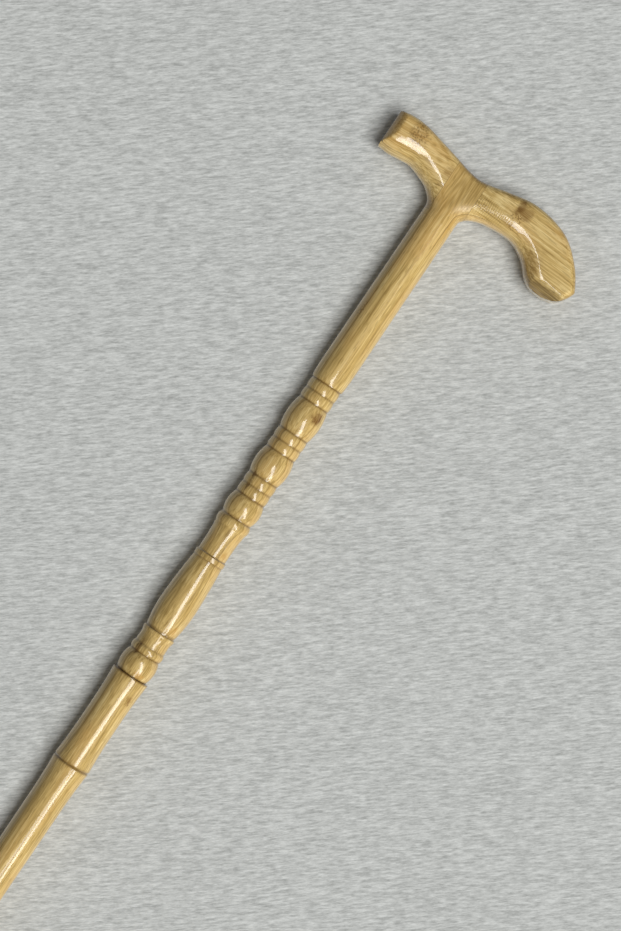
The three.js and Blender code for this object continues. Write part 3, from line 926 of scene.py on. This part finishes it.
for name, (block, grain_turn, contrast, tones, seams) in blocks.items():
    for i in range(strip_count):
        strip = block.copy()
        if i > 0:
            cut(strip, (0, 0, glue_planes[i - 1]), (0, 0, -1))
        if i < strip_count - 1:
            cut(strip, (0, 0, glue_planes[i]), (0, 0, 1))
        if i == middle_strip:
            strip = bored(strip, ["short_arm", "long_arm"] if name == "shaft" else [name])
        volume, gaps = strip.calc_volume() / 1000, sum(not e.is_manifold for e in strip.edges)
        finish = bamboo_finish(
            f"lacquered bamboo {name} {i + 1}", grain_turn, contrast, tones[i], noise_shift * i,
            top_marks_and_painted_shade[name] if i > middle_strip else (), seams,
            figured.get(name), arched.get(name), hazy.get(name))
        finish_piece(strip, f"bamboo_{name}_{i + 1}", finish, f"{name}_strip_{i + 1}")
        print(name, i + 1, round(volume, 2), "cm3,", gaps, "open edges")

# %% [markdown]
# ## Rubber ferrule
# A moulded black rubber ferrule grips the floor. Carbon black makes the rubber nearly black, the mould's
# blasted steel leaves it matt and finely pitted, and dust greys the parts that touch the ground. The dust is
# a noise that fades out 9 mm above the tread. Real pits are a tenth of a millimetre wide, too fine to show,
# so they are drawn at about 0.4 mm.

# %% Moulded rubber
dust_top, dust_patches_per_mm, pits_per_mm, pit_depth = 9, 0.25, 2.5, 0.00006

rubber, rubber_shader, rubber_place = new_finish("moulded black rubber")
dust = add_node(rubber, "TexNoise", {
    "Vector": rubber_place, "Scale": dust_patches_per_mm, "Detail": 4})
from_foot = add_node(rubber, "SeparateXYZ", {"Vector": rubber_place}, output="X")
near_floor = add_node(rubber, "MapRange", {
    "Value": from_foot, "From Min": dust_top, "From Max": 0, "To Max": 0.6})
pits = add_node(rubber, "TexNoise", {"Vector": rubber_place, "Scale": pits_per_mm, "Detail": 2})
feed(rubber_shader, {
    "Base Color": mixed(rubber, both(rubber, dust, near_floor), paint("#242322"), paint("#8B857A")),
    "Normal": add_node(rubber, "Bump", {"Height": pits, "Distance": pit_depth}),
    "Roughness": add_node(rubber, "MapRange", {"Value": dust, "To Min": 0.55, "To Max": 0.8})})

# %% [markdown]
# The ferrule is round, so it is turned like the shaft: a wide tread with two moulded grooves, a flare, and a
# sleeve with three ribs that grip and look the part. Its bore is modelled too, down to the washer's seat.

# %% Ferrule
tread_radius, tread_height, tread_grooves = 13.5, 6, (5.2, 9.2)
sleeve_radius, flare_height, bore_radius, washer_seat = 11.3, 8, 9.3, 7
first_rib, rib_span, rib_count = 15.5, 18.5, 3
# Pairs of radius and height: how the profile leaves its own line at a groove and at a rib
groove_shape = [(-0.8, 0), (-0.4, 1.2), (0.4, 1.2), (0.8, 0)]
rib_shape = [(0, 0), (0.55, 0.8), (0.7, 1.2), (0.7, 2), (0.55, 2.4), (0, 3.2)]

ferrule_profile = [(0, 0)]
for groove_radius in tread_grooves:
    ferrule_profile += [(groove_radius + side, depth) for side, depth in groove_shape]
flare_radius = tread_radius - 0.6
ferrule_profile += [(tread_radius - 0.8, 0), (tread_radius - 0.25, 0.25), (tread_radius, 0.8),
                    (tread_radius, tread_height - 0.6), (flare_radius, tread_height)]
for i in range(1, 13):
    radius = sleeve_radius + (flare_radius - sleeve_radius) * (1 - i / 12) ** 2
    ferrule_profile.append((radius, tread_height + flare_height * i / 12))
for i in range(rib_count):
    start = first_rib + i * rib_span / rib_count
    ferrule_profile += [(sleeve_radius + out, start + up) for out, up in rib_shape]
ferrule_profile += [(sleeve_radius, ferrule_length - 0.5), (sleeve_radius - 0.5, ferrule_length),
                    (bore_radius, ferrule_length), (bore_radius, washer_seat), (0, washer_seat)]
ferrule = turned(ferrule_profile)
print("ferrule:", len(ferrule.faces), "faces,", round(ferrule.calc_volume() / 1000, 1), "cm3")
finish_piece(ferrule, "rubber_ferrule", rubber, "ferrule")

# %% [markdown]
# ## The hidden pieces
# Four bamboo pins cross the seams between arms and shaft, and a steel washer keeps the shaft's foot from
# punching through the rubber. Their CAD shapes are right as they are, so they only get their finishes. The
# pins are split and pulled through a plate, which leaves them straw coloured and furrowed along their length.

# %% Bare bamboo for the pins
furrow_width, furrow_length, furrow_depth = 1 / 1.6, 20, 0.00005

bare_bamboo, bare_shader, bare_place = new_finish("bare split bamboo")
strands = add_node(bare_bamboo, "Mapping", {
    "Vector": bare_place, "Scale": (1 / furrow_width, 1 / furrow_length, 1 / furrow_width)})
strand_noise = add_node(bare_bamboo, "TexNoise", {
    "Vector": strands, "Scale": 1, "Detail": 2})
feed(bare_shader, {
    "Base Color": mixed(bare_bamboo, strand_noise, paint("#B08A52"), paint("#E2C692")),
    "Normal": add_node(bare_bamboo, "Bump", {"Height": strand_noise, "Distance": furrow_depth}),
    "Roughness": 0.6})

# %% [markdown]
# The washer is punched from sheet and zinc plated: a cool grey metal whose crystals, drawn about a
# millimetre wide, differ a little in tone and gloss.

# %% Zinc-plated steel for the washer
crystals_per_mm = 0.9

zinc, zinc_shader, zinc_place = new_finish("zinc-plated steel")
spangle = add_node(zinc, "TexVoronoi", {"Vector": zinc_place, "Scale": crystals_per_mm})
feed(zinc_shader, {
    "Base Color": mixed(zinc, spangle, paint("#B4B7BA"), paint("#9A9EA3")),
    "Roughness": add_node(zinc, "MapRange", {"Value": spangle, "To Min": 0.3, "To Max": 0.45}),
    "Metallic": 1.0})

# %% [markdown]
# A CAD node keeps its mesh, so its finish goes into the material slots that it already has.

# %% Give them to the CAD nodes
pins = [f"{arm}_arm_pin_{i}" for arm in ("short", "long") for i in (1, 2)]
for node, finish in [("ferrule_washer", zinc), *((pin, bare_bamboo) for pin in pins)]:
    for slot in bpy.data.objects[node].material_slots:
        slot.material = finish
    print(node, "is now", finish.name)

# %% [markdown]
# ## Floor
# The stick lies on pale grey felt that keeps its shadow. One big face is enough, and a noise stretched the
# way the nap was brushed keeps it from looking like paper. Real felt's fibres are far too fine to show, so
# the noise is drawn as coarse as tufts, 6 mm long and about a millimetre wide.

# %% Floor
floor_half_width, nap_turn, tuft_length, tuft_width = 6, 52, 6, 1.1

floor_bm = bmesh.new()
bmesh.ops.create_grid(floor_bm, x_segments=1, y_segments=1, size=floor_half_width)
floor = object_from(floor_bm, "floor")
floor_finish, floor_shader, floor_place = new_finish("pale matt felt")
nap_way = add_node(floor_finish, "Mapping", {
    "Vector": floor_place, "Rotation": (0, 0, math.radians(nap_turn))})
tufts = add_node(floor_finish, "Mapping", {
    "Vector": nap_way, "Scale": (1 / tuft_length, 1 / tuft_width, 1)})
felt = add_node(floor_finish, "TexNoise", {
    "Vector": tufts, "Scale": 1, "Detail": 4, "Roughness": 0.7})
felt_tone = add_node(floor_finish, "MapRange", {
    "Value": felt, "From Min": 0.3, "From Max": 0.7})
feed(floor_shader, {
    "Base Color": mixed(floor_finish, felt_tone, paint("#A4A6A3"), paint("#E2E4E1")),
    "Roughness": 0.95, "Specular IOR Level": 0.1})
floor.data.materials.append(floor_finish)
print("floor:", 2 * floor_half_width, "m wide")

# %% [markdown]
# ## Light
# The photograph's light seems to come from windows. A faint even sky fills the shadows, and the camera sees
# a brighter backdrop than the sky lights with, through Light Path.

# %% Sky
sky_light, backdrop_brightness = 0.15, 0.6

world = bpy.data.worlds.new("soft room light")
world.use_nodes = True
background = world.node_tree.nodes["Background"]
seen = add_node(world, "LightPath", {}, output="Is Camera Ray")
brightness = add_node(world, "MapRange", {
    "Value": seen, "To Min": sky_light, "To Max": backdrop_brightness})
feed(background, {"Color": (1, 1, 1, 1), "Strength": brightness})
bpy.context.scene.world = world

# %% [markdown]
# After that each job has its own lamps: daylight for the tone of the wood, a steeper daylight for the floor
# and its narrow shadow, and windows that only draw reflections. The gloss of a lacquered bead is a picture
# of the window over it, so the windows' sizes and places are given as the camera sees them.

# %% Helpers for lamps
camera_along, camera_across, camera_height, camera_turn = 702.9, -18.1, 1596, math.radians(-56.0)
below_camera = stick_to_model @ Vector((camera_along, camera_across, 0))
window_height = 0.5


def add_light(name, place, width, length, radiance, only_on, gloss):
    """An area light that shines down its own Z on the pieces whose names start as only_on says. A radiance
    of 1 is as bright as white paper in full light. With gloss the light only draws reflections, and without
    it the light only lights."""
    data = bpy.data.lights.new(name, "AREA")
    data.shape, data.size, data.size_y = "RECTANGLE", width, length
    data.energy = radiance * math.pi * width * length
    light = bpy.data.objects.new(name, data)
    light.visible_camera, light.visible_diffuse, light.visible_glossy = False, not gloss, gloss
    bpy.context.scene.collection.objects.link(light)
    light.matrix_world = place
    lit = bpy.data.collections.new("lit by " + name)
    for piece in bpy.context.scene.objects:
        if piece.name.startswith(only_on):
            lit.objects.link(piece)
    light.light_linking.receiver_collection = lit


def window(name, over, right, up, turn, width, length, radiance):
    """A window that only draws reflections. right and up give the middle of its upper end in metres, as the
    camera sees it, and turn is its angle from the camera's upright, in degrees."""
    upper_end = (Matrix.Translation(below_camera) @ Matrix.Rotation(camera_turn, 4, "Z")
                 @ Matrix.Translation((right, up, window_height)))
    place = (upper_end @ Matrix.Rotation(math.radians(turn), 4, "Z")
             @ Matrix.Translation((0, -length / 2, 0)))
    add_light(name, place, width, length, radiance, over, gloss=True)


def daylight(name, on, direction, distance, width, radiance):
    """A broad square light far away in one direction, turned to face the stick."""
    way = Vector(direction).normalized()
    facing = way.to_track_quat("Z", "X").to_matrix().to_4x4()
    place = Matrix.Translation(below_camera + way * distance) @ facing
    add_light(name, place, width, width, radiance, on, gloss=False)


# %% [markdown]
# The windows' sizes and places were set until the bright lines fell where the photograph has them. The real
# handle seems not quite level on the floor, so its arms see other parts of the window than the shaft does:
# light linking gives each its own.

# %% Lamps
window("long window", ("bamboo_shaft", "rubber"), right=0.086, up=-0.036, turn=5.5, width=0.135,
       length=0.64, radiance=8.0)
window("dim pane over the taper", "bamboo_shaft", right=0.061, up=-0.288, turn=-34, width=0.13, length=0.5,
       radiance=4.5)
window("window over the short arm", "bamboo_short", right=0.10, up=0.13, turn=-37.4, width=0.12,
       length=0.43, radiance=8.0)
window("window over the long arm", "bamboo_long", right=0.07, up=0.12, turn=-37.4, width=0.07, length=0.38,
       radiance=8.0)
window("window over the nose", "bamboo_long", right=0.06, up=0.03, turn=0, width=0.07, length=0.16,
       radiance=8.0)
daylight("daylight from the right", ("bamboo", "rubber", "ferrule", "short_arm", "long_arm"),
         direction=(-0.3, -0.66, 0.69), distance=8.0, width=5.6, radiance=7.6)
daylight("daylight on the floor", "floor", direction=(-0.05, -0.36, 0.93), distance=9.0, width=4.2,
         radiance=12.0)

# %% [markdown]
# ## Camera
# The photograph looks straight down with little perspective, so the camera hangs 1.6 metres above the stick
# with a long lens. The stick runs slantwise through the picture, and a turn about the view axis brings that
# slant.

# %% Camera
camera_data = bpy.data.cameras.new("camera")
camera_data.lens = 108.2
camera = bpy.data.objects.new("camera", camera_data)
bpy.context.scene.collection.objects.link(camera)
camera.location = stick_to_model @ Vector((camera_along, camera_across, camera_height))
camera.rotation_euler = (0, 0, camera_turn)
bpy.context.scene.camera = camera
bpy.context.scene.view_settings.view_transform = "Standard"
print("camera at", [round(v, 3) for v in camera.location])
